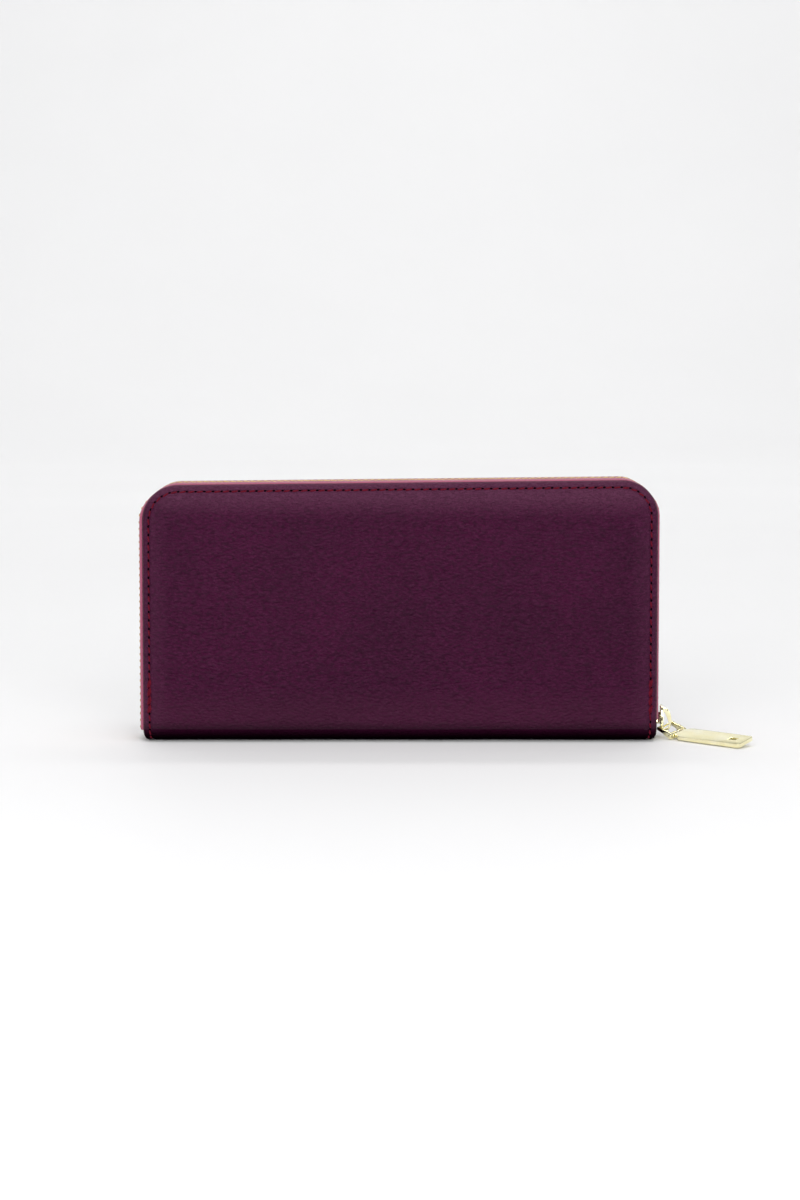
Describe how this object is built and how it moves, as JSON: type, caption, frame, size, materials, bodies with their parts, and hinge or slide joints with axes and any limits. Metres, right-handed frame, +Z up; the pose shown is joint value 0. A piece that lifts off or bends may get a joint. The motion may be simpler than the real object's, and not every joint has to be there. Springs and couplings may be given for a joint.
{
  "type": "long wallet",
  "caption": "Zip-around long wallet standing on its spine, with opening covers, card panels, side gussets, a zipped coin pocket and metal zip pulls.",
  "frame": {"origin": "middle of the spine's flat underside, on the surface the wallet stands on", "axes": "+X along the wallet's length towards the zip slider, -Y out of the front cover, +Z up from the spine to the zipped top edge"},
  "size_m": [0.2309, 0.0405, 0.1001],
  "materials": {
    "leather": "fine-grained plum imitation leather, satin",
    "trim_leather": "smooth plum imitation leather, satin",
    "lining": "plain woven lining cloth, matt",
    "foam": "thin foam sheet, matt",
    "board": "bonded fibre board, matt",
    "zip_tape": "woven rose zip tape, matt",
    "zip_metal": "polished light gold plating",
    "gold_metal": "polished light gold plating"
  },
  "bodies": {
    "root": {"spine_leather": "leather", "spine_lining": "lining", "coin_pocket_front_panel": "trim_leather", "coin_pocket_back_panel": "trim_leather", "coin_zip_tape_front": "zip_tape", "coin_zip_tape_back": "zip_tape", "coin_zip_teeth": "zip_metal", "coin_zip_stop_left": "zip_metal", "coin_zip_stop_right": "zip_metal", "zip_end_stop_left": "zip_metal", "zip_end_stop_right": "zip_metal", "gusset_left_front": "lining", "gusset_left_back": "lining", "gusset_right_front": "lining", "gusset_right_back": "lining"},
    "front_cover": {"front_cover_leather": "leather", "front_cover_padding": "foam", "front_cover_board": "board", "front_lining": "lining", "front_slip_pocket": "trim_leather", "front_card_panel_1": "trim_leather", "front_card_panel_2": "trim_leather", "front_card_panel_3": "trim_leather", "front_card_panel_4": "trim_leather", "zip_tape_front": "zip_tape", "zip_teeth_front": "zip_metal"},
    "back_cover": {"back_cover_leather": "leather", "back_cover_padding": "foam", "back_cover_board": "board", "back_lining": "lining", "back_slip_pocket": "trim_leather", "back_card_panel_1": "trim_leather", "back_card_panel_2": "trim_leather", "back_card_panel_3": "trim_leather", "back_card_panel_4": "trim_leather", "zip_tape_back": "zip_tape", "zip_teeth_back": "zip_metal"},
    "zip_slider": {"zip_slider_body": "gold_metal"},
    "pull_link": {"pull_link": "gold_metal", "pull_pin": "gold_metal"},
    "pull_tab": {"pull_tab": "gold_metal"},
    "coin_zip_slider": {"coin_zip_slider": "gold_metal"},
    "coin_zip_pull": {"coin_zip_pull": "gold_metal"}
  },
  "joints": [
    {"name": "front_cover_open", "type": "hinge", "parent": "root", "child": "front_cover", "pos_m": [0, -0.013, 0.00915], "axis": [1, 0, 0], "range_deg": [0, 30], "deforming": ["gusset_left_front", "gusset_right_front", "zip_teeth_front", "zip_teeth_back", "zip_tape_front"]},
    {"name": "back_cover_open", "type": "hinge", "parent": "root", "child": "back_cover", "pos_m": [0, 0.013, 0.00915], "axis": [-1, 0, 0], "range_deg": [0, 30], "deforming": ["gusset_left_back", "gusset_right_back", "zip_tape_back"]},
    {"name": "zip_slider_travel", "type": "slide", "parent": "back_cover", "child": "zip_slider", "axis": [0, 0, 1], "range_m": [0, 0.06]},
    {"name": "pull_link_swivel", "type": "hinge", "parent": "zip_slider", "child": "pull_link", "pos_m": [0.1013, 0, 0.0044], "axis": [0, 0, 1], "range_deg": [0, 40]},
    {"name": "pull_tab_lift", "type": "hinge", "parent": "pull_link", "child": "pull_tab", "pos_m": [0.10552, -0.00317, 0.00199], "axis": [-0.6568, -0.7295, -0.1908], "range_deg": [0, 90]},
    {"name": "coin_zip_travel", "type": "slide", "parent": "root", "child": "coin_zip_slider", "axis": [-1, 0, 0], "range_m": [0, 0.13]},
    {"name": "coin_pull_lift", "type": "hinge", "parent": "coin_zip_slider", "child": "coin_zip_pull", "pos_m": [0.0749, 0, 0.086], "axis": [0, 1, 0], "range_deg": [0, 120]}
  ]
}
